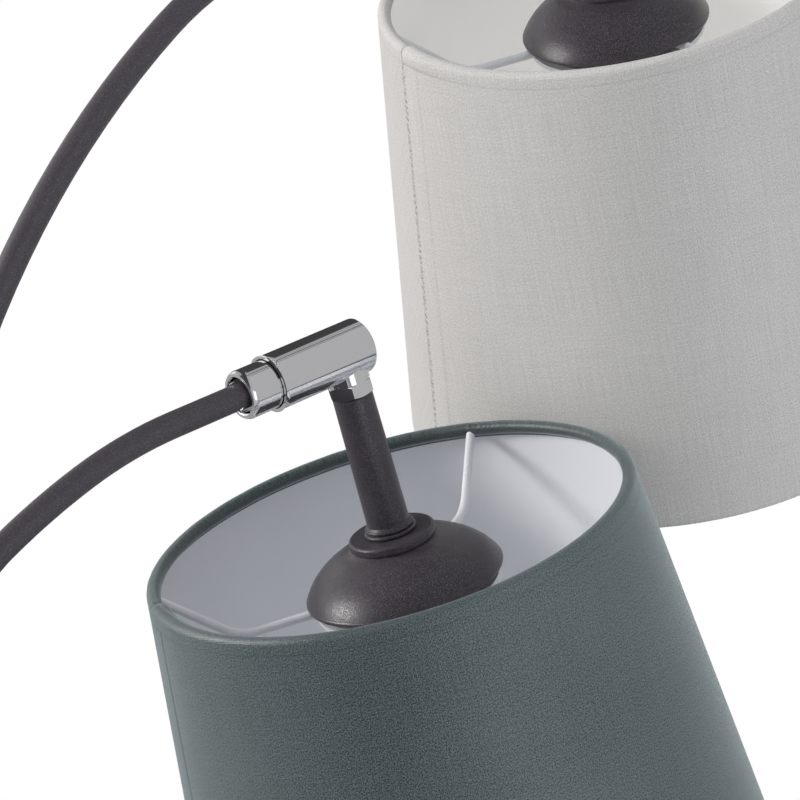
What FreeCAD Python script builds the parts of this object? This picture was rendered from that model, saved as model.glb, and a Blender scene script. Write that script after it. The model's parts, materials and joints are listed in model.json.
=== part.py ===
import FreeCAD, Part
import math
import os

# Three-arm floor lamp, millimetres, +Z up, origin under the middle of the base.
# Arms a and b reach towards +X, arm c towards -X.
# Each head is laid out about its joint: x along the swivel barrel, t along the stem
# with t = 0 in the plane of the shade's top ring.

os.makedirs("parts", exist_ok=True)
V = FreeCAD.Vector

# clearances
slipGap = 0.3          # between faces that turn on one another
seatGap = 0.05         # radial gap of a screwed or clamped seat

# base
baseRadius = 140.0
coverHeight = 22.0
coverEdge = 7.0
coverWall = 1.2
coverRise = 1.5        # rim of the cover above the ground
weightInset = 6.0      # weight inside the cover's rim
weightRadius = baseRadius - weightInset
weightThick = 15.0
weightBevel = 22.0     # sloped border of the weight
padInset = 3.0
padRadius = weightRadius - padInset
padThick = 3.0
baseTubeRadius = 5.0
baseNutFlats = 17.0
baseNutThick = 6.0
inletZ = 9.0
inletRadius = 4.5
inletBore = 2.6

# pole
poleRadius = 10.0
poleBore = 8.8
footRadius = 17.0
footHeight = 26.0
joinerRadius = 8.7
joinerBore = 4.0
joinerSpan = 36.0
joinerBand = 2.0
hubTop = 1175.0
hubHeight = 30.0
hubRadius = 22.0
hubSpigot = 16.0
capRadius = 7.4
socketDepth = 22.0
socketPitch = 14.0     # arms stand in a row along X
grubRadius = 2.0

# arms
armRadius = 4.1
armBore = 3.1
armEnd = 14.0          # end of the tube short of the stem axis

# swivel joint
barrelRadius = 8.9
barrelBore = 8.15
barrelNear = 28.6
barrelFar = 7.9
barrelEnd = 2.0
lipRadius = 9.3
lipWidth = 2.3         # the mouth flares over this length
collarRadius = barrelBore - slipGap
collarFace = 39.6
collarCrown = 7.3      # radius of the collar's face inside its rounded edge
crownLength = 2.4
collarMouth = 5.9
mouthDepth = 7.5
collarTail = 12.0
ringGroove = 7.0
ringWidth = 2.2
ringFrom = 16.2
bossRadius = 7.0
nippleRadius = 3.95
nutFlats = 13.3
nutThick = 4.6

# hanging part of a head
jointHeight = 60.9     # joint above the shade ring plane
stemLean = 3.0         # stem out of square to the barrel, degrees
stemTop = 46.9
stemTopRadius = 6.5
stemFootRadius = 6.95
stemBore = 2.6
neckTop = -1.2
spigotRadius = 4.95
spigotEnd = -14.0
bellWall = 1.2
bellProfile = [(14.3, -3.6), (13.9, -4.4), (14.9, -5.0), (17.6, -5.9), (22.2, -8.0),
               (27.0, -11.2), (30.7, -15.0), (32.4, -17.6)]
bellRim = (32.7, -18.9)

# lampholder
holderRadius = 19.6
holderTop = -10.5
holderFlange = 22.6
holderFlangeTop = -20.2
holderEnd = -57.0
shellRadius = 13.8
shellWall = 0.4
shellTop = -27.4
shellStep = -31.0      # the shell's wall is straight below this
shellEnd = -53.0
clampRadius = 25.5
clampHeight = 7.0

# shade
ringRadius = 78.6      # centre line of the top ring
ringWire = 1.35
coverOffset = 2.3      # ring centre line to the cloth's outer face
clothThick = 0.5
linerThick = 0.45
shadeDrop = 164.9      # top ring plane to the lower edge
shadeFoot = 100.0      # outer radius at the lower edge
hemDepth = 3.8
hubPlateOuter = 30.5
hubPlateThick = 1.6
hubPlateTop = -22.2
spiderWire = 1.5
weldSink = 0.3         # wires let into the hub plate
spiderFirst = 29.5     # direction of the first spider wire, degrees
spiderKnee = 56.0


def revolve(points):
    """Solid of revolution about Z from (radius, height) corners."""
    corners = [V(r, 0, z) for r, z in points]
    face = Part.Face(Part.makePolygon(corners + corners[:1]))
    return face.revolve(V(0, 0, 0), V(0, 0, 1), 360)


def tube(outer, inner, z0, z1):
    return revolve([(inner, z0), (outer, z0), (outer, z1), (inner, z1)])


def rod(radius, start, end):
    axis = end - start
    return Part.makeCylinder(radius, axis.Length, start, axis)


def hexPrism(flats, z0, z1, bore):
    corners = [V(flats / math.sqrt(3) * math.cos(math.radians(60 * k)),
                 flats / math.sqrt(3) * math.sin(math.radians(60 * k)), z0) for k in range(7)]
    body = Part.Face(Part.makePolygon(corners)).extrude(V(0, 0, z1 - z0))
    crown = flats / math.sqrt(3)
    cut = crown - flats / 2
    rounding = revolve([(0, z0), (crown - cut, z0), (crown, z0 + cut * 0.6),
                        (crown, z1 - cut * 0.6), (crown - cut, z1), (0, z1)])
    return body.common(rounding).cut(Part.makeCylinder(bore, z1 - z0 + 2, V(0, 0, z0 - 1)))


def profileFace(steps):
    """Face in the XZ plane from corners, ("arc", middle, end) and ("curve", points)."""
    edges = []
    here = start = V(steps[0][0], 0, steps[0][1])
    for step in steps[1:] + [steps[0]]:
        if step[0] == "arc":
            end = V(step[2][0], 0, step[2][1])
            edges.append(Part.Arc(here, V(step[1][0], 0, step[1][1]), end).toShape())
        elif step[0] == "curve":
            points = [here] + [V(r, 0, z) for r, z in step[1]]
            spline = Part.BSplineCurve()
            spline.interpolate(points)
            edges.append(spline.toShape())
            end = points[-1]
        else:
            end = V(step[0], 0, step[1])
            if here.distanceToPoint(end) > 1e-6:
                edges.append(Part.makeLine(here, end))
        here = end
    return Part.Face(Part.Wire(edges))


def spin(steps):
    return profileFace(steps).revolve(V(0, 0, 0), V(0, 0, 1), 360)


def write(name, shape):
    shape = shape.removeSplitter()
    assert shape.isValid(), name
    shape.exportStep("parts/" + name + ".step")
    print(name, len(shape.Solids), round(shape.Volume))


# ---- base and pole ----

coverTop = coverRise + coverHeight
coverUnder = coverTop - coverWall * 1.05


def baseCover():
    top = coverTop
    outer = [(baseTubeRadius + seatGap, top), (footRadius + 3, top),
             (baseRadius * 0.43, top - 0.2), (baseRadius * 0.79, top - 1.6),
             (baseRadius - coverEdge, top - 4.2),
             (baseRadius - 2.2, top - 7.4), (baseRadius, top - 12.0)]
    inner = [(r - (0 if k == 0 else coverWall), z - coverTop + coverUnder)
             for k, (r, z) in enumerate(outer)]
    shell = revolve(outer + [(baseRadius, coverRise), (baseRadius - coverWall, coverRise)]
                    + inner[::-1])
    inlet = rod(inletRadius + seatGap, V(-baseRadius - 5, 0, inletZ),
                V(-baseRadius + 8, 0, inletZ))
    return shell.cut(inlet)


weightTop = padThick + weightThick


def baseWeight():
    body = revolve([(baseTubeRadius + seatGap, padThick), (weightRadius - 1.5, padThick),
                    (weightRadius, padThick + 1.5), (weightRadius - 1.5, padThick + 9),
                    (weightRadius - weightBevel, weightTop), (footRadius + 1, weightTop),
                    (footRadius + 1, coverUnder), (baseTubeRadius + seatGap, coverUnder)])
    pocket = Part.makeCylinder(16, 9, V(0, 0, padThick - 1))
    channel = Part.makeBox(weightRadius + 6, 12, 10, V(-weightRadius - 6, -6, padThick - 1))
    return body.cut(pocket).cut(channel)


def cordBush():
    # seen from outside: a flange, then the barrel through the cover's wall
    x = -baseRadius
    body = rod(inletRadius, V(x + 5, 0, inletZ), V(x - 2, 0, inletZ))
    body = body.fuse(rod(inletRadius + 1.6, V(x - 0.2, 0, inletZ), V(x - 2, 0, inletZ)))
    return body.cut(rod(inletBore, V(x + 6, 0, inletZ), V(x - 4, 0, inletZ)))


nutSeat = padThick + 8.0
footTop = coverTop + footHeight


def baseTube():
    return tube(baseTubeRadius, 3.4, nutSeat - baseNutThick - 1.5, coverTop + 14)


def poleFoot():
    z = coverTop
    body = revolve([(baseTubeRadius + seatGap, z), (footRadius, z), (footRadius, z + 3),
                    (footRadius - 1.4, z + 4.4), (poleRadius + 2.4, footTop - 4),
                    (poleRadius + 1.6, footTop), (poleRadius + seatGap, footTop),
                    (poleRadius + seatGap, z + 10), (baseTubeRadius + seatGap, z + 10)])
    return body


poleFrom = coverTop + 10.0
poleTo = hubTop - hubHeight
section = (poleTo - poleFrom - 2 * joinerBand) / 3
poleEnds = [(poleFrom + k * (section + joinerBand), poleFrom + k * (section + joinerBand) + section)
            for k in range(3)]


def poleSection(k):
    return tube(poleRadius, poleBore, *poleEnds[k])


def poleJoiners():
    pieces = []
    for k in range(2):
        z = poleEnds[k][1]
        core = tube(joinerRadius, joinerBore, z - joinerSpan / 2, z + joinerBand + joinerSpan / 2)
        band = revolve([(joinerBore, z), (poleRadius, z), (poleRadius + 0.5, z + 0.5),
                        (poleRadius + 0.5, z + joinerBand - 0.5), (poleRadius, z + joinerBand),
                        (joinerBore, z + joinerBand)])
        pieces.append(core.fuse(band))
    return Part.makeCompound(pieces)


sockets = {"a": socketPitch, "b": 0.0, "c": -socketPitch}


def hubBody():
    z = poleTo
    body = revolve([(0, z - hubSpigot), (joinerRadius, z - hubSpigot), (joinerRadius, z),
                    (hubRadius - 5, z), (hubRadius - 1, z + 3), (hubRadius, z + 6),
                    (hubRadius, hubTop - 2), (hubRadius - 2, hubTop), (0, hubTop)])
    cavity = Part.makeCylinder(joinerBore, hubSpigot + 6, V(0, 0, z - hubSpigot - 1))
    body = body.cut(cavity)
    gallery = Part.makeBox(2 * socketPitch, 5, 4, V(-socketPitch, -2.5, z + 3.5))
    body = body.cut(gallery)
    for x in sockets.values():
        body = body.cut(Part.makeCylinder(armRadius + seatGap, socketDepth + 1,
                                          V(x, 0, hubTop - socketDepth)))
        body = body.cut(Part.makeCylinder(armBore, hubHeight - 4, V(x, 0, z + 4)))
        body = body.cut(rod(grubRadius + seatGap, V(x, -hubRadius - 1, hubTop - 11),
                            V(x, 0, hubTop - 11)))
    return body


def hubScrews():
    pieces = []
    for x in sockets.values():
        y = -math.sqrt(hubRadius ** 2 - x ** 2)
        screw = rod(grubRadius, V(x, y + 1.0, hubTop - 11),
                    V(x, -armRadius - seatGap, hubTop - 11))
        recess = rod(1.0, V(x, y - 1, hubTop - 11), V(x, y + 3.5, hubTop - 11))
        pieces.append(screw.cut(recess))
    return Part.makeCompound(pieces)


def hubFerrules():
    pieces = []
    for x in sockets.values():
        ring = revolve([(armRadius + seatGap, hubTop), (capRadius - 0.6, hubTop),
                        (capRadius - 0.6, hubTop + 1.2), (armRadius + 1.0, hubTop + 4.0),
                        (armRadius + seatGap, hubTop + 4.0)])
        ring.translate(V(x, 0, 0))
        pieces.append(ring)
    return Part.makeCompound(pieces)


# ---- arms ----
# An arm stands in the hub, bends from upright through its slopes and ends in a
# straight run along the swivel axis. The first bend closes the reach.

# "reach" and "rise" place the joint from the hub, and "bends" is the width of the bends.

arms = {
    "a": {"heading": 0.0, "foot": socketPitch, "reach": 152.5, "rise": 125.0, "bends": 90.35,
          "slopes": [37.5, 29.2, 15.7], "radii": [227.0, 143.0], "turn": 0.0},
    "b": {"heading": 2.5, "foot": 0.0, "reach": 260.9, "rise": 299.6, "bends": 126.92,
          "slopes": [42.0, 21.3], "radii": [110.7], "turn": 10.8},
    "c": {"heading": 180.0, "foot": socketPitch, "reach": 250.8, "rise": 366.0, "bends": 193.74,
          "slopes": [18.0], "radii": [], "turn": 0.0},
}


def armEdges(arm):
    """Centre line from the hub socket to the tube's end, in the arm's own plane."""
    slope = math.radians(arm["slopes"][-1])
    joint = V(arm["reach"], 0, hubTop + arm["rise"])
    x = arm["bends"]
    z = joint.z - (joint.x - x) * math.tan(slope)
    end = joint - V(armEnd * math.cos(slope), 0, armEnd * math.sin(slope))
    edges = [Part.makeLine(V(x, 0, z), end)]
    steep = [90.0] + arm["slopes"][:-1]
    radii = [None] + arm["radii"]
    for k in reversed(range(len(steep))):
        a, b = math.radians(steep[k]), math.radians(arm["slopes"][k])
        radius = radii[k] or (x - arm["foot"]) / (math.sin(a) - math.sin(b))
        centre = V(x + radius * math.sin(b), 0, z - radius * math.cos(b))
        points = [centre + V(-radius * math.sin(t), 0, radius * math.cos(t))
                  for t in (a, (a + b) / 2, b)]
        edges.insert(0, Part.Arc(*points).toShape())
        x, z = points[0].x, points[0].z
    edges.insert(0, Part.makeLine(V(x, 0, hubTop - socketDepth), V(x, 0, z)))
    return edges


def armTube(arm):
    path = Part.Wire(armEdges(arm))
    foot = path.Edges[0].Vertexes[0].Point
    body = None
    for radius in (armRadius, armBore):
        circle = Part.Wire(Part.makeCircle(radius, foot, V(0, 0, 1)))
        pipe = path.makePipeShell([circle], True, False)
        body = pipe if body is None else body.cut(pipe)
    body.rotate(V(0, 0, 0), V(0, 0, 1), arm["heading"])
    return body


def onArm(shape, arm, swing=0.0):
    """From the joint's frame to the lamp's, turned about the barrel by the head's turn."""
    shape = shape.copy()
    shape.rotate(V(0, 0, 0), V(1, 0, 0), arm["turn"] + swing)
    shape.rotate(V(0, 0, 0), V(0, 1, 0), -arm["slopes"][-1])
    shape.translate(V(arm["reach"], 0, hubTop + arm["rise"]))
    shape.rotate(V(0, 0, 0), V(0, 0, 1), arm["heading"])
    return shape


# ---- swivel joint, x along the barrel ----

def alongX(shape):
    """Turn a solid made about Z so that its +Z becomes +X."""
    shape = shape.copy()
    shape.rotate(V(0, 0, 0), V(0, 1, 0), 90)
    return shape


def collar():
    rear = ringFrom - ringWidth
    bulge = 0.2
    crown = ((collarRadius + collarCrown) / 2 + bulge, -collarFace + crownLength / 2 - bulge)
    return alongX(spin([
        (collarMouth + 0.4, -collarFace), (collarCrown, -collarFace),
        ("arc", crown, (collarRadius, -collarFace + crownLength)),
        (collarRadius, -ringFrom - 0.1),
        (ringGroove, -ringFrom - 0.1), (ringGroove, -rear + 0.1),
        (collarRadius, -rear + 0.1), (collarRadius, -collarTail - 0.4),
        (collarRadius - 0.4, -collarTail), (armRadius + seatGap, -collarTail),
        (armRadius + seatGap, -collarFace + mouthDepth),
        (collarMouth, -collarFace + mouthDepth), (collarMouth, -collarFace + 0.4)]))


def snapRing():
    ring = alongX(tube(collarRadius, ringGroove + seatGap, -ringFrom, -ringFrom + ringWidth))
    return ring.cut(Part.makeBox(4, 3, 20, V(-ringFrom - 1, -1.5, 0)))


def barrel():
    near, far = -barrelNear, barrelFar
    body = alongX(spin([
        (0, far), (barrelRadius - 0.8, far),
        ("arc", (barrelRadius - 0.24, far - 0.24), (barrelRadius, far - 0.8)),
        (barrelRadius, near + lipWidth),
        ("arc", (barrelRadius + (lipRadius - barrelRadius) / 4, near + lipWidth / 2),
         (lipRadius, near + 0.25)),
        (lipRadius - 0.25, near), (0, near)]))
    boss = hang(Part.makeCylinder(bossRadius, 6, V(0, 0, stemTop + nutThick)))
    body = body.fuse(boss)
    bore = alongX(Part.makeCylinder(barrelBore, barrelFar - barrelEnd + barrelNear + 1,
                                    V(0, 0, near - 1)))
    nippleHole = hang(Part.makeCylinder(nippleRadius + seatGap, 12, V(0, 0, stemTop + 1)))
    return body.cut(bore).cut(nippleHole)


# ---- hanging parts, about the stem ----

def hang(shape):
    """From the shade's frame to the joint's frame."""
    shape = shape.copy()
    shape.translate(V(0, 0, -jointHeight))
    shape.rotate(V(0, 0, 0), V(0, 1, 0), -stemLean)
    return shape


def lockNut():
    return hexPrism(nutFlats, stemTop, stemTop + nutThick, nippleRadius + seatGap)


def stem():
    body = spin([
        (stemBore, spigotEnd), (spigotRadius - 0.5, spigotEnd),
        (spigotRadius, spigotEnd + 0.5), (spigotRadius, neckTop), (7.9, neckTop),
        ("arc", (8.6, neckTop + 0.75), (7.9, neckTop + 1.5)), (7.5, neckTop + 1.7),
        ("arc", (8.1, neckTop + 2.35), (7.5, neckTop + 3.0)),
        (stemFootRadius, neckTop + 3.6), (stemTopRadius, stemTop - 0.4),
        (stemTopRadius - 0.4, stemTop), (nippleRadius, stemTop),
        (nippleRadius, stemTop + nutThick + 5.0), (stemBore, stemTop + nutThick + 5.0)])
    return body


def bell():
    seat = spigotRadius + seatGap
    lower = [(r - bellWall * 0.72, z - bellWall * 0.9) for r, z in bellProfile[3:]]
    rimInner = bellRim[0] - bellWall
    body = spin([
        (seat, neckTop), (13.3, neckTop), ("arc", (14.0, neckTop - 0.3), (14.3, neckTop - 1.0)),
        bellProfile[0], ("arc", (14.0, -4.0), bellProfile[1]),
        ("curve", bellProfile[2:]), ("arc", (32.75, -18.2), bellRim), (rimInner, bellRim[1]),
        ("curve", lower[::-1]), (12.6, -5.6), (12.0, -4.6), (seat, -4.6)])
    return body


def lampholder():
    throat = spigotRadius + seatGap
    cavity = 13.0
    body = revolve([
        (throat, -4.8), (7.4, -4.8), (7.4, holderTop), (14.0, holderTop),
        (18.4, holderTop - 4.4), (18.4, holderFlangeTop), (holderFlange, holderFlangeTop),
        (holderFlange, hubPlateTop), (holderRadius, hubPlateTop),
        (holderRadius, holderEnd + 0.8), (holderRadius - 0.8, holderEnd),
        (shellRadius + 1.2, holderEnd), (shellRadius + seatGap, holderEnd + 1.2),
        (shellRadius + seatGap, shellTop), (shellRadius - 4.0, shellTop),
        (shellRadius - 4.0, shellTop + 1.2), (cavity, shellTop + 4.0),
        (cavity, holderTop - 3.5), (throat, holderTop - 3.5)])
    floor = Part.makeCylinder(shellRadius - 3.9, 4.4, V(0, 0, shellTop))
    return body.fuse(floor)


def screwShell():
    inside, shoulder = shellRadius - shellWall, shellRadius - 2.4
    return revolve([(inside, shellEnd), (shellRadius, shellEnd), (shellRadius, shellStep),
                    (shoulder, shellTop), (9.0, shellTop), (9.0, shellTop - shellWall),
                    (shoulder - shellWall, shellTop - shellWall), (inside, shellStep)])


def centreContact():
    return revolve([(0, shellTop - 3.0), (2.6, shellTop - 3.0), (4.2, shellTop - 1.4),
                    (4.2, shellTop), (0, shellTop)])


def clampRing():
    top = hubPlateTop - hubPlateThick
    body = revolve([(holderRadius + seatGap, top), (clampRadius, top),
                    (clampRadius, top - 2.2), (clampRadius - 2.0, top - 3.0),
                    (clampRadius - 2.0, top - clampHeight + 0.8),
                    (clampRadius - 2.8, top - clampHeight),
                    (holderRadius + seatGap, top - clampHeight)])
    for k in range(12):
        grip = Part.makeBox(1.2, 2.0, clampHeight - 3.6,
                            V(clampRadius - 2.3, -1.0, top - clampHeight + 0.7))
        grip.rotate(V(0, 0, 0), V(0, 0, 1), 30 * k)
        body = body.fuse(grip)
    return body


# ---- shade ----

slant = math.atan2(shadeFoot - ringRadius - coverOffset, shadeDrop)
lowRing = (shadeDrop - coverOffset) / math.cos(slant)     # ring to ring along the slant


def onSlant(a, b):
    """Point a outwards of the line between the ring centres and b down it."""
    return (ringRadius + a * math.cos(slant) + b * math.sin(slant),
            a * math.sin(slant) - b * math.cos(slant))


def hemSteps(edge, sign):
    """Corners of the cloth round one ring, from its outer face to the turned-in edge."""
    def at(a, b):
        return onSlant(a, edge + sign * b)

    def polar(radius, angle):
        t = math.radians(angle)
        return at(radius * math.cos(t), -radius * math.sin(t))

    outer, inner = coverOffset, coverOffset - clothThick
    tail = ringWire - seatGap
    out = [polar(outer, 0), ("arc", polar(outer, 90), polar(outer, 180)),
           ("arc", polar(outer, 208), polar(outer, 235)),
           at(tail - clothThick, 3.37), at(tail - clothThick, hemDepth)]
    back = [at(tail, hemDepth), at(tail, 3.1), polar(inner, 235),
            ("arc", polar(inner, 208), polar(inner, 180)),
            ("arc", polar(inner, 90), polar(inner, 0))]
    return out, back


def reverseSteps(steps):
    """The same corners and arcs run the other way."""
    ends = [s[2] if s[0] == "arc" else s for s in steps]
    turned = [ends[-1]]
    for k in range(len(steps) - 1, 0, -1):
        turned.append(("arc", steps[k][1], ends[k - 1]) if steps[k][0] == "arc" else ends[k - 1])
    return turned


def spiderWires(radius):
    """Three dropped wires from the hub plate up to the top ring."""
    height = hubPlateTop + spiderWire - weldSink
    knee = V(spiderKnee, 0, height)
    ring = V(ringRadius, 0, 0)
    rise = ring - knee
    rise.normalize()
    bend = 7.0
    first, second = knee - V(bend, 0, 0), knee + rise * bend
    middle = (first + second) * 0.5 + (knee - (first + second) * 0.5) * 0.55
    path = Part.Wire([Part.makeLine(V(holderFlange + 0.8, 0, height), first),
                      Part.Arc(first, middle, second).toShape(),
                      Part.makeLine(second, ring - rise * 0.9)])
    circle = Part.Wire(Part.makeCircle(radius, V(holderFlange + 0.8, 0, height), V(1, 0, 0)))
    wire = path.makePipeShell([circle], True, False)
    wires = []
    for k in range(3):
        turned = wire.copy()
        turned.rotate(V(0, 0, 0), V(0, 0, 1), spiderFirst + 120 * k)
        wires.append(turned)
    return wires


def shadeFrame():
    body = Part.makeTorus(ringRadius, ringWire)
    body = body.fuse(tube(hubPlateOuter, holderRadius + slipGap, hubPlateTop - hubPlateThick,
                          hubPlateTop))
    for wire in spiderWires(spiderWire):
        body = body.fuse(wire)
    return body


def shadeRing():
    radius, height = onSlant(0, lowRing)
    return Part.makeTorus(radius, ringWire, V(0, 0, height))


def shadeLiner():
    inside = ringWire + 0.03
    return revolve([onSlant(inside, 0), onSlant(inside + linerThick - 0.06, 0),
                    onSlant(inside + linerThick - 0.06, lowRing), onSlant(inside, lowRing)])


def shadeCover():
    topOut, topBack = hemSteps(0, 1)
    lowOut, lowBack = hemSteps(lowRing, -1)
    steps = topOut + topBack + reverseSteps(lowBack) + reverseSteps(lowOut)
    body = spin(steps)
    for wire in spiderWires(spiderWire + slipGap):
        body = body.cut(wire)
    return body


# ---- writing ----

fixed = {
    "base_cover": baseCover, "base_weight": baseWeight,
    "base_pad": lambda: Part.makeCylinder(padRadius, padThick),
    "base_tube": baseTube, "cord_bush": cordBush,
    "base_nut": lambda: hexPrism(baseNutFlats, nutSeat - baseNutThick, nutSeat,
                                 baseTubeRadius + seatGap),
    "pole_foot": poleFoot, "pole_lower": lambda: poleSection(0),
    "pole_middle": lambda: poleSection(1), "pole_upper": lambda: poleSection(2),
    "pole_joiners": poleJoiners, "hub_body": hubBody, "hub_screws": hubScrews,
    "hub_ferrules": hubFerrules,
}
for name, make in fixed.items():
    write(name, make())

headPieces = {
    "collar": collar(), "snap_ring": snapRing(), "barrel": barrel(),
    "lock_nut": hang(lockNut()), "stem": hang(stem()), "bell": hang(bell()),
    "lampholder": hang(lampholder()), "screw_shell": hang(screwShell()),
    "contact": hang(centreContact()), "clamp_ring": hang(clampRing()),
    "shade_frame": hang(shadeFrame()), "shade_ring": hang(shadeRing()),
    "shade_liner": hang(shadeLiner()), "shade_cover": hang(shadeCover()),
}
for letter, arm in arms.items():
    write("arm_" + letter, armTube(arm))
    for name, piece in headPieces.items():
        write(name + "_" + letter, onArm(piece, arm))
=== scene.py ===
import json
import math

import bmesh
import bpy
from mathutils import Matrix, Vector, noise


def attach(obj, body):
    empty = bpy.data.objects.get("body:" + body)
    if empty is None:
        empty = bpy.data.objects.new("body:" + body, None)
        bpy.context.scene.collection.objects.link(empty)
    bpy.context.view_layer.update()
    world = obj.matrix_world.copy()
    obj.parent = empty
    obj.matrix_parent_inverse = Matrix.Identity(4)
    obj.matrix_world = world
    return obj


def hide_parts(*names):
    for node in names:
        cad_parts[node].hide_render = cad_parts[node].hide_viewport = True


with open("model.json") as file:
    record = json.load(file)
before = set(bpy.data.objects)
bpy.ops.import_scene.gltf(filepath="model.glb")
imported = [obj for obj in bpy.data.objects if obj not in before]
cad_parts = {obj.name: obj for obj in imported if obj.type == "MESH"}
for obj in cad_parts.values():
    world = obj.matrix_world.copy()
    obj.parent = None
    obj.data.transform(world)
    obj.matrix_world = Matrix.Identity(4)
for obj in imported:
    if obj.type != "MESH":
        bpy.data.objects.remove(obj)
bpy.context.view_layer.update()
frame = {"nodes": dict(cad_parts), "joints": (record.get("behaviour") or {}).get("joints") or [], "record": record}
scene = bpy.context.scene
mm = 0.001
heads = "abc"


# where the heads are, from the CAD's own mounts and joints

capDepth = 42.0          # lamp cap's middle below the shade's top ring
mounts = {m["name"]: m for m in frame["record"]["mounts"]}
joints = {j["name"]: j for j in frame["joints"]}


def axes(x, z, origin):
    # a frame with these x and z directions
    x, z = Vector(x).normalized(), Vector(z).normalized()
    y = z.cross(x)
    rows = [[x[i], y[i], z[i], origin[i]] for i in range(3)]
    return Matrix(rows + [[0, 0, 0, 1]])


shadeFrame, jointFrame = {}, {}
for k in heads:
    cap, joint = mounts["lamp_cap_" + k], joints["swivel_" + k]
    up, along = -Vector(cap["axis"]).normalized(), Vector(joint["axis"]).normalized()
    middle = Vector(cap["pos_m"]) + up * capDepth * mm
    shadeFrame[k] = axes(along - up * along.dot(up), up, middle)
    jointFrame[k] = axes(along, up - along * up.dot(along), Vector(joint["pos_m"]))
slots = {s["node"]: s["material_slot"] for s in frame["record"]["subparts"]}
print("frame read")


# shader values with plain arithmetic

class Signal:
    def __init__(self, tree, socket):
        self.tree = tree
        self.socket = socket

    def math(self, operation, *values):
        made = self.tree.nodes.new("ShaderNodeMath")
        made.operation = operation
        for place, value in zip(made.inputs, values):
            feed(self.tree, place, value)
        return Signal(self.tree, made.outputs[0])

    def __add__(self, other):
        return self.math("ADD", self, other)

    def __radd__(self, other):
        return self.math("ADD", other, self)

    def __sub__(self, other):
        return self.math("SUBTRACT", self, other)

    def __rsub__(self, other):
        return self.math("SUBTRACT", other, self)

    def __mul__(self, other):
        return self.math("MULTIPLY", self, other)

    def __rmul__(self, other):
        return self.math("MULTIPLY", other, self)

    def __truediv__(self, other):
        return self.math("DIVIDE", self, other)

    def __rtruediv__(self, other):
        return self.math("DIVIDE", other, self)

    def __neg__(self):
        return self.math("MULTIPLY", self, -1.0)

    def sin(self):
        return self.math("SINE", self)

    def cos(self):
        return self.math("COSINE", self)

    def size(self):
        return self.math("ABSOLUTE", self)

    def root(self):
        return self.math("SQRT", self)

    def turn(self, other):
        return self.math("ARCTAN2", self, other)

    def larger(self, other):
        return self.math("MAXIMUM", self, other)

    def step(self, low, high):
        # 0 below low and 1 above high, smooth between
        made = self.tree.nodes.new("ShaderNodeMapRange")
        made.interpolation_type = "SMOOTHSTEP"
        for name, value in (("Value", self), ("From Min", low), ("From Max", high)):
            feed(self.tree, made.inputs[name], value)
        return Signal(self.tree, made.outputs[0])

    def band(self, middle, half, soft):
        # 1 within half of the middle, falling to 0 over soft
        return 1.0 - (self - middle).size().step(half, half + soft)


def feed(tree, place, value):
    if isinstance(value, Signal):
        tree.links.new(value.socket, place)
    elif isinstance(value, tuple) and len(value) == 3 and place.type == "RGBA":
        place.default_value = value + (1.0,)
    else:
        place.default_value = value


class Shading:
    def __init__(self, tree):
        self.tree = tree

    def node(self, kind, inputs=None, output=0, **settings):
        made = self.tree.nodes.new("ShaderNode" + kind)
        for key, value in settings.items():
            setattr(made, key, value)
        for key, value in (inputs or {}).items():
            feed(self.tree, made.inputs[key], value)
        return Signal(self.tree, made.outputs[output])

    def split(self, where):
        parts = self.tree.nodes.new("ShaderNodeSeparateXYZ")
        feed(self.tree, parts.inputs[0], where)
        return [Signal(self.tree, out) for out in parts.outputs]

    def vector(self, x, y, z=0.0):
        return self.node("CombineXYZ", {0: x, 1: y, 2: z})

    def noise(self, where, scale, detail=2.0, roughness=0.5):
        return self.node("TexNoise", {"Vector": where, "Scale": scale, "Detail": detail,
                                      "Roughness": roughness})

    def mix(self, factor, low, high):
        made = self.tree.nodes.new("ShaderNodeMix")
        made.data_type = "RGBA"
        for place, value in zip((0, 6, 7), (factor, low, high)):
            feed(self.tree, made.inputs[place], value)
        return Signal(self.tree, made.outputs[2])


class Finish(Shading):
    def __init__(self, name, **constants):
        self.material = bpy.data.materials.new(name)
        self.material.use_nodes = True
        super().__init__(self.material.node_tree)
        self.shader = self.tree.nodes["Principled BSDF"]
        for key, value in constants.items():
            self.set(key, value)

    def set(self, key, value):
        feed(self.tree, self.shader.inputs[key.replace("_", " ")], value)

    def place(self):
        # x, y, z on the piece, in millimetres
        return [part * 1000.0 for part in self.split(self.node("TexCoord", output="Object"))]

    def bump(self, height, distance, strength=1.0):
        self.set("Normal", self.node("Bump", {"Height": height, "Distance": distance * mm,
                                              "Strength": strength}))


def pale(colour, by):
    # a colour made lighter or darker
    return tuple(min(1.0, c * by) for c in colour)


# metals, plastics and paint

def paint(name, base, rough, grain, depth, sand=0.0):
    # grain and depth of the skin in millimetres, sand is the share of light specks: partly the coat's own flecks,
    # partly painted glints
    f = Finish(name, Specular_IOR_Level=0.45)
    where = f.vector(*f.place())
    fine = f.noise(where, 1 / grain, 2.0)
    broad = f.noise(where, 0.03, 2.0)
    tone = f.mix((fine + broad) * 0.5, pale(base, 0.8), pale(base, 1.2))
    dull = rough + (fine - 0.5) * 0.15 + (broad - 0.5) * 0.1
    if sand:
        # light specks, partly the coat's own flecks and partly painted glints
        glintSpeck = f.noise(where, 1.5 / grain, 0.0).step(0.57, 0.66)
        tone = f.mix(glintSpeck * sand, tone, pale(base, 9.0))
        dull = dull - glintSpeck * 0.2
    f.set("Base Color", tone)
    f.set("Roughness", dull)
    f.bump(fine, depth)
    return f.material


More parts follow.
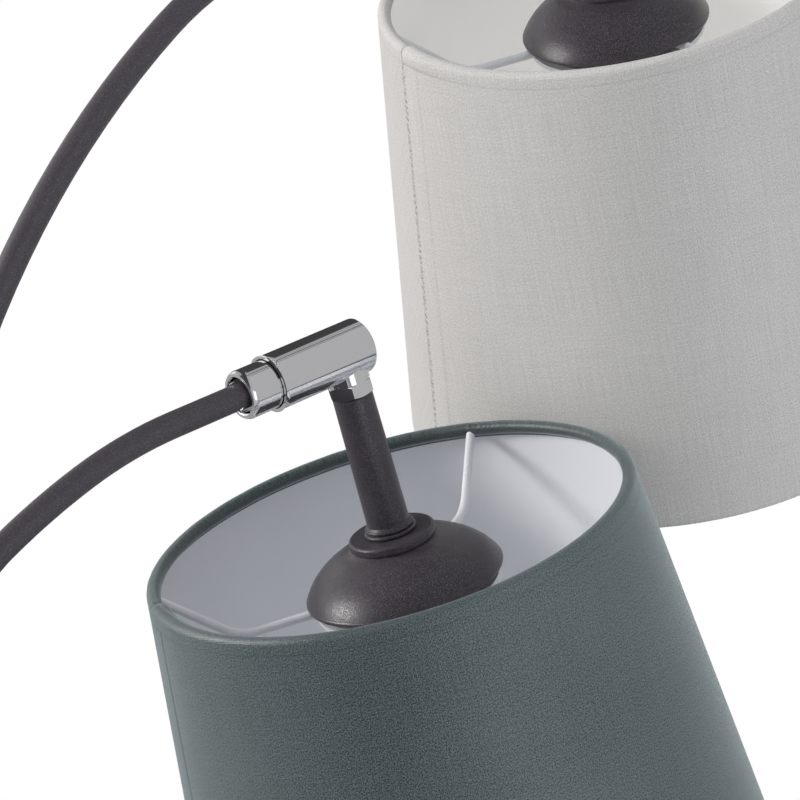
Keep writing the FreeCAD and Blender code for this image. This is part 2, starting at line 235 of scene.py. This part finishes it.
def metal(name, colour, rough, scratch, face=None):
    # scratch is how far fine lines change the roughness
    f = Finish(name, Metallic=1.0)
    x, y, z = f.place()
    haze = f.noise(f.vector(x * 0.15, y * 0.15, z * 0.15), 1.0, 3.0)
    lines = f.noise(f.vector(x * 0.3, y * 9, z * 9), 1.0, 2.0)
    dull = rough + (haze - 0.5) * 0.06 + (lines - 0.5) * scratch
    relief = lines * 0.2
    if face:
        # a turned face across the axis, with fine rings
        along, origin, level = face
        dx, dy, dz = x - origin[0] / mm, y - origin[1] / mm, z - origin[2] / mm
        ahead = dx * along[0] + dy * along[1] + dz * along[2]
        turned = (-ahead).step(level - 0.3, level - 0.1)
        reach = (dx * dx + dy * dy + dz * dz - ahead * ahead).root()
        rings = f.noise(f.vector(reach * 4.0, 0.0), 1.0, 2.0)
        dull = dull + turned * (0.24 + rings * 0.12)
        relief = relief + turned * rings * 2.0
    f.set("Base Color", f.mix(haze, pale(colour, 0.96), pale(colour, 1.03)))
    f.set("Roughness", dull)
    f.bump(relief, 0.004)
    return f.material


chrome = {"colour": (0.86, 0.86, 0.87), "rough": 0.035, "scratch": 0.01}
collarFace = 39.6        # collar's turned face, before the joint's origin
finishes = {
    "black_paint": paint("black_paint", (0.057, 0.05, 0.058), rough=0.5, grain=0.5, depth=0.015,
                         sand=0.08),
    "black_sand": paint("black_sand", (0.032, 0.028, 0.033), rough=0.4, grain=0.42, depth=0.09,
                        sand=0.35),
    "chrome": metal("chrome", **chrome),
    "zinc_steel": metal("zinc_steel", (0.6, 0.61, 0.62), rough=0.3, scratch=0.1),
    "shell_brass": metal("shell_brass", (0.78, 0.6, 0.33), rough=0.22, scratch=0.08),
    "cast_weight": paint("cast_weight", (0.1, 0.1, 0.1), rough=0.7, grain=1.2, depth=0.15),
    "foam_pad": paint("foam_pad", (0.025, 0.025, 0.025), rough=0.9, grain=0.6, depth=0.15),
    "black_plastic": paint("black_plastic", (0.025, 0.025, 0.026), rough=0.5, grain=0.4, depth=0.01),
    "white_plastic": paint("white_plastic", (0.8, 0.8, 0.78), rough=0.35, grain=0.6, depth=0.006),
    "white_wire": paint("white_wire", (0.68, 0.69, 0.72), rough=0.38, grain=0.8, depth=0.012),
}
turnedFinish = {}
for k in heads:
    along, origin = jointFrame[k].col[0][:3], jointFrame[k].col[3][:3]
    turnedFinish["collar_" + k] = metal("chrome_turned_" + k, **chrome,
                                        face=(along, origin, collarFace))
print("metals and paints made")


# cloth, laid out flat: u across and v down the cut, in millimetres

# ring is the top ring's radius and foot the cloth's at the bottom; the turned-in edge runs straight
# from bend to hem, and glued is what it adds to the flat cut
shade = {"ring": 78.6, "wire": 1.35, "roll": 2.3, "cloth": 0.5, "liner": 0.42, "drop": 164.9,
         "foot": 100.0, "hem": 3.8, "bend": 3.3, "glued": 9.0, "columns": 900}
slant = math.atan2(shade["foot"] - shade["ring"] - shade["roll"], shade["drop"])
lowRing = (shade["drop"] - shade["roll"]) / math.cos(slant)
seams = {"a": 158.0, "b": 162.5, "c": 160.0}      # where the cloth overlaps, degrees
upright = 240.0          # where the warp runs straight up the shade, degrees


def flatCloth(f, seam):
    x, y, z = f.place()
    # the cut between -180 and 180 degrees lies on the seam
    s, c = math.sin(math.radians(seam)), math.cos(math.radians(seam))
    back = -(x * c + y * s)
    side = x * s - y * c
    around = side.turn(back)
    cone = math.sin(slant)
    radius = (x * x + y * y).root()
    inward = shade["ring"] + shade["roll"] - z * math.tan(slant) - radius
    reach = shade["ring"] / cone - z / math.cos(slant) - inward
    turned = (around - math.radians(upright - seam - 180.0)) * cone
    u = reach * turned.sin()
    v = reach * turned.cos()
    return u, v, around, z, radius


# slub and cross are steps of noise per millimetre across and down, weft is its pitch against the
# warp's, gap the noise between dots, and the other pairs where a mark starts and ends in millimetres
thread = {"slub": (1.6, 0.035), "cross": (0.05, 1.7), "broad": 0.012, "weft": 1.15,
          "hem": (0.1, 0.55), "edge": (0.7, 1.5), "waver": 1.6, "gap": (0.42, 0.6),
          "roll": (1.5, 2.6), "seamRadius": 82.0, "inside": (0.2, 1.8), "foldShade": (-9.0, -6.0)}


def cloth(name, seam, look):
    f = Finish(name, Specular_IOR_Level=look["shine"], Sheen_Weight=look["sheen"],
               Sheen_Roughness=0.35, Sheen_Tint=look["tint"] + (1.0,))
    u, v, around, z, radius = flatCloth(f, seam)
    pitch = look["pitch"]
    warp = (u * (math.tau / pitch)).sin()
    weft = (v * (math.tau / (pitch * thread["weft"]))).sin()
    slub = f.noise(f.vector(u * thread["slub"][0], v * thread["slub"][1]), 1.0, 3.0, 0.6)
    cross = f.noise(f.vector(u * thread["cross"][0], v * thread["cross"][1]), 1.0, 2.0, 0.6)
    fleck = f.noise(f.vector(u / look["fleck"][0], v / look["fleck"][1]), 1.0, 1.0)
    broad = f.noise(f.vector(u, v), thread["broad"], 2.0)
    tone = (0.5 + (slub - 0.5) * look["slub"] + (cross - 0.5) * look["cross"]
            + (fleck - 0.5) * look["grain"] + (broad - 0.5) * look["broad"]
            + warp * weft * look["weave"])
    colour = f.mix(tone, look["dark"], look["light"])
    # hem line below the rim and the cut edge of the glued overlap, both darkened as painted shade
    hem = (z + look["hemDrop"]).size()
    # painted shade: a darker line in the hem's crease
    line = 1.0 - (hem + (fleck - 0.5) * 0.5).step(*thread["hem"])
    colour = f.mix(line * look["line"], colour, pale(look["dark"], 0.6))
    # painted shadow: the overlap's cut edge, and the notch in the roll, are darkened along the seam
    edge = (math.pi - around.size()) * thread["seamRadius"]
    ragged = edge + (f.noise(f.vector(v * 0.5, 3.0), 1.0, 3.0) - 0.5) * thread["waver"]
    dots = f.noise(f.vector(v * 0.9, 9.0), 1.0, 1.0).step(*thread["gap"])
    roll = 1.0 - z.size().step(*thread["roll"])
    mark = (1.0 - ragged.step(*thread["edge"])) * dots.larger(roll)
    colour = f.mix(mark * look["seam"], colour, pale(look["dark"], 0.45))
    # the inner side of the rolled rim is darkened, a painted shade of its fold
    inside = (shade["ring"] - radius).step(*thread["inside"]) * z.step(*thread["foldShade"])
    # painted shade inside the roll
    colour = f.mix(inside * look["foldShade"], colour, pale(look["dark"], 0.7))
    f.set("Base Color", colour)
    f.set("Roughness", look["rough"] - (fleck - 0.5) * 0.2 + (broad - 0.5) * 0.1)
    height = warp * 0.25 + weft * 0.25 + slub * 1.2 + fleck * 1.2 - line * 0.8 - mark * 1.5
    f.bump(height, look["relief"])
    return f.material


cloths = {
    "a": cloth("cloth_green", seams["a"], {
        "dark": (0.022, 0.033, 0.036), "light": (0.15, 0.19, 0.195), "tint": (0.85, 0.97, 1.0),
        "pitch": 0.5, "weave": 0.12, "slub": 0.4, "cross": 0.3, "fleck": (0.4, 0.5),
        "grain": 2.6, "broad": 0.5, "hemDrop": 2.7, "line": 0.2, "seam": 0.85, "rough": 0.44,
        "relief": 0.05, "shine": 0.6, "sheen": 0.65, "foldShade": 0.6}),
    "b": cloth("cloth_cream", seams["b"], {
        "dark": (0.4, 0.388, 0.37), "light": (0.74, 0.722, 0.698), "tint": (1.0, 0.98, 0.96),
        "pitch": 0.5, "weave": 0.08, "slub": 0.5, "cross": 0.3, "fleck": (0.42, 0.6),
        "grain": 1.3, "broad": 0.2, "hemDrop": 2.8, "line": 0.15, "seam": 0.75, "rough": 0.75,
        "relief": 0.04, "shine": 0.25, "sheen": 0.15, "foldShade": 0.25}),
    "c": cloth("cloth_grey", seams["c"], {
        "dark": (0.18, 0.18, 0.185), "light": (0.36, 0.36, 0.365), "tint": (1.0, 1.0, 1.0),
        "pitch": 0.5, "weave": 0.1, "slub": 0.5, "cross": 0.3, "fleck": (0.42, 0.6),
        "grain": 1.5, "broad": 0.2, "hemDrop": 2.8, "line": 0.15, "seam": 0.7, "rough": 0.7,
        "relief": 0.04, "shine": 0.3, "sheen": 0.2, "foldShade": 0.3}),
}
print("cloths made")


def linerFinish(name, low, high, through):
    # through is a painted glow, standing for the daylight that comes in through pale cloth
    f = Finish(name, Specular_IOR_Level=0.3, Emission_Strength=through)
    where = f.vector(*f.place())
    cloud = f.noise(where, 0.03, 3.0)
    fibre = f.noise(where, 1.5, 2.0)
    tone = f.mix(cloud * 0.7 + fibre * 0.3, low, high)
    f.set("Base Color", tone)
    f.set("Emission Color", tone)
    f.set("Roughness", 0.5 + (fibre - 0.5) * 0.15)
    f.bump(fibre, 0.01)
    return f.material


# the warm copy of the liner's tone is painted light that comes in through the cream cloth
cool = ((0.78, 0.79, 0.83), (0.84, 0.855, 0.885))
warm = ((0.84, 0.83, 0.81), (0.9, 0.89, 0.87))
linerFinishes = {"a": linerFinish("liner_cool", *cool, 0.0),
                 "b": linerFinish("liner_painted_warm_light", *warm, 0.16),
                 "c": linerFinish("liner_grey", *cool, 0.03)}


# meshes, with sizes in millimetres

def addMesh(name, points, faces, matrix, sharp=35.0):
    mesh = bpy.data.meshes.new(name)
    mesh.from_pydata([Vector(p) * mm for p in points], [], faces)
    work = bmesh.new()
    work.from_mesh(mesh)
    bmesh.ops.recalc_face_normals(work, faces=work.faces)
    work.to_mesh(mesh)
    work.free()
    mesh.shade_smooth()
    mesh.set_sharp_from_angle(angle=math.radians(sharp))
    obj = bpy.data.objects.new(name, mesh)
    scene.collection.objects.link(obj)
    obj.matrix_world = matrix
    return obj


def turnedFaces(profile, columns, shift=None):
    # a closed line of (radius, height) turned about z, where shift moves each point
    points, rings = [], []
    for radius, height in profile:
        if radius < 1e-6:
            rings.append([len(points)] * columns)
            points.append((0, 0, height))
            continue
        rings.append(list(range(len(points), len(points) + columns)))
        for i in range(columns):
            angle = math.tau * i / columns
            r, z = (radius, height) if shift is None else shift(angle, radius, height)
            points.append((r * math.cos(angle), r * math.sin(angle), z))
    faces = []
    for row, ring in enumerate(rings):
        after = rings[(row + 1) % len(rings)]
        for i in range(columns):
            j = (i + 1) % columns
            corners = list(dict.fromkeys([ring[i], ring[j], after[j], after[i]]))
            if len(corners) > 2:
                faces.append(corners)
    return points, faces


def strand(points, faces, path, radius, sides=6):
    # a thin tube along a path, closed at both ends, added to the points and faces
    first = len(points)
    for i, here in enumerate(path):
        run = (path[min(i + 1, len(path) - 1)] - path[max(i - 1, 0)]).normalized()
        across = run.orthogonal().normalized()
        other = run.cross(across)
        for s in range(sides):
            t = math.tau * s / sides
            points.append(here + radius * (across * math.cos(t) + other * math.sin(t)))
    for i in range(len(path) - 1):
        a, b = first + i * sides, first + (i + 1) * sides
        for s in range(sides):
            t = (s + 1) % sides
            faces.append([a + s, a + t, b + t, b + s])
    faces.append([first + s for s in range(sides)])
    faces.append([len(points) - 1 - s for s in range(sides)])


# shades

def onSlant(a, b):
    # point a outwards of the line between the rings and b down it
    return (shade["ring"] + a * math.cos(slant) + b * math.sin(slant),
            a * math.sin(slant) - b * math.cos(slant))


def hemLine(edge, sign, offset, tail):
    # the cloth's face round one ring, from its outer side to the turned-in edge
    line = []
    for angle in range(0, 236, 10):
        t = math.radians(angle)
        line.append((offset * math.cos(t), -offset * math.sin(t)))
    line += [(tail, shade["bend"]), (tail, shade["hem"])]
    return [onSlant(a, edge + sign * b) for a, b in line]


def coverProfile():
    outer, inner = shade["roll"], shade["roll"] - shade["cloth"]
    tail = shade["wire"] - 0.05
    low = int(lowRing)
    # rows down the wall, closer at the rims
    rows = [1.0, 2.0, 3.0, 3.6, 4.2, 4.8, 6.0, 9.0] + list(range(14, low - 10, 8))
    rows += [low - back for back in (7, 5, 4, 3, 2, 1)]
    wall = [onSlant(outer, b) for b in rows]
    wallIn = [onSlant(inner, b) for b in rows]
    top = hemLine(0, 1, outer, tail - shade["cloth"])
    foot = hemLine(lowRing, -1, outer, tail - shade["cloth"])
    topIn, footIn = hemLine(0, 1, inner, tail), hemLine(lowRing, -1, inner, tail)
    return top[::-1] + wall + foot + footIn[::-1] + wallIn[::-1] + topIn


def fromSeam(angle, seam):
    # between -pi and pi
    return (angle - math.radians(seam) + math.pi) % math.tau - math.pi


# thick past the seam over fade radians, pinch at it, step of the wall over reach radians; uneven is
# the rims' waviness, felt as far as rim, and rolled how far the roll lies from the ring
lap = {"thick": 0.9, "fade": 0.5, "pinch": 0.55, "width": 0.02, "step": 0.22, "reach": 0.11,
       "uneven": 0.1, "rim": 5.0, "rolled": 3.4}


def coverShift(seam, seed):
    # small unevenness of the rolled rims, and the raised overlap at the seam
    def shift(angle, radius, height):
        off = fromSeam(angle, seam)
        fromTop, fromFoot = height / lap["rim"], (height + shade["drop"]) / lap["rim"]
        rim = math.exp(-fromTop ** 2) + math.exp(-fromFoot ** 2)
        wave = noise.noise(Vector((math.cos(angle) * 3, math.sin(angle) * 3, seed)))
        wave += 0.6 * noise.noise(Vector((math.cos(angle) * 11, math.sin(angle) * 11, seed)))
        flap = lap["step"] if 0 <= off < lap["reach"] else 0.0
        radius += lap["uneven"] * wave * rim + flap * (1 - 0.7 * min(1.0, rim))
        height += lap["uneven"] * wave * rim
        # the roll is thicker past the seam, and drawn in at it
        across = Vector((radius - shade["ring"], height))
        if across.length < lap["rolled"]:
            more = lap["thick"] * max(0.0, 1 - off / lap["fade"]) if off >= 0 else 0.0
            more -= lap["pinch"] * math.exp(-(off / lap["width"]) ** 2)
            across *= 1 + more / max(across.length, 1.5)
            radius, height = shade["ring"] + across.x, across.y
        return radius, height
    return shift


# in millimetres, but apart in radians
fray = {"threads": 9, "apart": 0.006, "length": 2.2, "longer": 1.6, "inward": 2.6, "down": 1.2,
        "thick": 0.17, "steps": 6}


def frayed(points, faces, seam, seed):
    # loose threads where the cloth's cut end shows inside the roll
    for i in range(fray["threads"]):
        jitter = [noise.noise(Vector((i * 1.7, j * 3.1, seed))) for j in range(4)]
        start = math.radians(seam) + fray["apart"] * i * (1 + jitter[0])
        length = fray["length"] + fray["longer"] * (1 + jitter[1])
        path = []
        for step in range(fray["steps"] + 1):
            s = step / fray["steps"]
            angle = start + s * length / shade["ring"]
            radius = shade["ring"] - fray["inward"] - 1.6 * s * (0.6 + jitter[2])
            height = -fray["down"] + 1.4 * jitter[3] - 0.9 * s
            path.append(Vector((radius * math.cos(angle), radius * math.sin(angle), height)))
        strand(points, faces, path, fray["thick"])


liner = {"play": 0.03, "rows": 40, "columns": 360}


def shadePieces(k):
    points, faces = turnedFaces(coverProfile(), shade["columns"], coverShift(seams[k], ord(k)))
    frayed(points, faces, seams[k], ord(k))
    cover = addMesh("cover_" + k, points, faces, shadeFrame[k], 50.0)
    cover.data.materials.append(cloths[k])
    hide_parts("shade_cover_" + k)
    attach(cover, "head_" + k)

    inside = shade["wire"] + liner["play"]
    outside = inside + shade["liner"] - liner["play"]
    rows = [i * lowRing / liner["rows"] for i in range(liner["rows"] + 1)]
    profile = [onSlant(inside, b) for b in rows] + [onSlant(outside, b) for b in rows[::-1]]
    lining = addMesh("liner_" + k, *turnedFaces(profile, liner["columns"]), shadeFrame[k])
    lining.data.materials.append(linerFinishes[k])
    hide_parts("shade_liner_" + k)
    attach(lining, "head_" + k)


for k in heads:
    shadePieces(k)
print("shades made")


# the foam pad under the weight

pad = {"radius": 131.0, "thick": 3.0, "edge": 0.8, "columns": 256}


def footPad():
    r, h, e = pad["radius"], pad["thick"], pad["edge"]
    soft = e * 0.3
    profile = [(0, 0), (r - e, 0), (r - soft, soft), (r, e), (r, h - e), (r - soft, h - soft),
               (r - e, h), (0, h)]
    obj = addMesh("pad", *turnedFaces(profile, pad["columns"]), Matrix())
    obj.data.materials.append(finishes["foam_pad"])
    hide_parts("base_pad")
    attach(obj, "stand")


footPad()


# the CAD's own pieces that stay

for name, obj in frame["nodes"].items():
    # nodes that a mesh above replaces are hidden
    if obj.hide_render:
        continue
    obj.data.materials.clear()
    obj.data.materials.append(turnedFinish.get(name, finishes[slots[name]]))
print("finishes set")


# floor, surround, lights and camera

ground = {"radius": 2.5, "low": (0.8, 0.8, 0.8), "high": (0.84, 0.84, 0.84),
          "fade": (900.0, 2400.0)}


def floorFinish():
    # the floor fades out before its edge
    f = Finish("floor", Roughness=0.75, Specular_IOR_Level=0.2)
    x, y, z = f.place()
    fibre = f.noise(f.vector(x, y, z), 0.2, 3.0)
    f.set("Base Color", f.mix(fibre, ground["low"], ground["high"]))
    f.set("Alpha", 1.0 - (x * x + y * y).root().step(*ground["fade"]))
    return f.material


bpy.ops.mesh.primitive_circle_add(vertices=128, radius=ground["radius"], fill_type="NGON")
floor = bpy.context.object
floor.name = "floor"
floor.data.materials.append(floorFinish())
floor.visible_glossy = False

# what shiny pieces see of the room, by the side of the picture that it lies on; a band is its
# middle, half its width and how soft it ends
room = {"right": (0.7927, -0.6096), "ahead": (0.6096, 0.7927), "dark": (0.055, 0.053, 0.055),
        "grey": (0.46, 0.46, 0.465), "left": (0.4, 0.39, 0.39), "window": (0.95, 0.95, 0.96),
        "front": (1.4, 1.42, 1.45), "fill": (0.40, 0.41, 0.43),
        "posts": ((0.1, 0.01, 0.01), (0.235, 0.012, 0.015)), "sill": (-0.42, 0.03, 0.03),
        "pane": (0.33, 0.22, 0.06), "frontWide": (0.52, 0.12, 0.12), "frontHigh": (-0.12, 0.25, 0.15)}


def surround():
    world = bpy.data.worlds.new("studio")
    scene.world = world
    world.use_nodes = True
    f = Shading(world.node_tree)
    x, y, z = f.split(f.node("TexCoord", output="Generated"))
    right = x * room["right"][0] + y * room["right"][1]
    ahead = (x * room["ahead"][0] + y * room["ahead"][1]).step(-0.05, 0.1)
    posts = right.band(*room["posts"][0]) + right.band(*room["posts"][1])
    shine = f.mix(right.step(0.0, 0.07), room["dark"], room["grey"])
    shine = f.mix((posts * z.step(0.2, 0.4) + z.band(*room["sill"])) * 0.5, shine, room["dark"])
    leftWall = f.mix(z.band(*room["pane"]), room["left"], room["window"])
    shine = f.mix((-right).step(0.32, 0.42) * ahead, shine, leftWall)
    front = right.band(*room["frontWide"]) * (1.0 - ahead) * z.band(*room["frontHigh"])
    shine = f.mix(front, shine, room["front"])
    path = f.tree.nodes.new("ShaderNodeLightPath")
    glossy, camera, through = [Signal(f.tree, path.outputs["Is %s Ray" % kind])
                               for kind in ("Glossy", "Camera", "Transmission")]
    # the picture's background is white
    colour = f.mix(camera.larger(through), f.mix(glossy, room["fill"], shine), (1.0, 1.0, 1.0))
    feed(f.tree, f.tree.nodes["Background"].inputs["Color"], colour)


surround()


# bearing and height in degrees, distance and size in metres
aim = (0.2, 0.0, 1.28)
softboxes = {
    "key": {"bearing": 147, "height": 14, "distance": 1.7, "size": (0.45, 0.45), "watts": 22,
            "colour": (1.0, 0.98, 0.96), "mirrored": True},
    "fill": {"bearing": 275, "height": -12, "distance": 1.6, "size": (0.6, 0.9), "watts": 10,
             "colour": (0.94, 0.97, 1.0), "mirrored": False},
    "top": {"bearing": 200, "height": 62, "distance": 1.8, "size": (0.9, 0.9), "watts": 10,
            "colour": (1.0, 1.0, 1.0), "mirrored": False},
}


def softbox(name, box):
    a, e = math.radians(box["bearing"]), math.radians(box["height"])
    away = Vector((math.cos(a) * math.cos(e), math.sin(a) * math.cos(e), math.sin(e)))
    data = bpy.data.lights.new(name, "AREA")
    data.shape = "RECTANGLE"
    data.size, data.size_y = box["size"]
    data.energy = box["watts"]
    data.color = box["colour"]
    obj = bpy.data.objects.new(name, data)
    scene.collection.objects.link(obj)
    obj.location = Vector(aim) + away * box["distance"]
    obj.rotation_euler = away.to_track_quat("Z", "Y").to_euler()
    obj.visible_camera = False
    obj.visible_glossy = box["mirrored"]


for name, box in softboxes.items():
    softbox(name, box)

# place and near in metres, turn in degrees, lens and sensor in millimetres
view = {"place": (-0.3260, -0.6529, 1.3908), "turn": (82.56, 0.0, -37.56), "lens": 117.0,
        "sensor": 36.0, "near": 0.05}
camera = bpy.data.objects.new("camera", bpy.data.cameras.new("camera"))
scene.collection.objects.link(camera)
camera.location = view["place"]
camera.rotation_euler = [math.radians(a) for a in view["turn"]]
camera.data.lens = view["lens"]
camera.data.sensor_width = view["sensor"]
camera.data.clip_start = view["near"]
scene.camera = camera
scene.view_settings.view_transform = "Standard"
print("stage set")
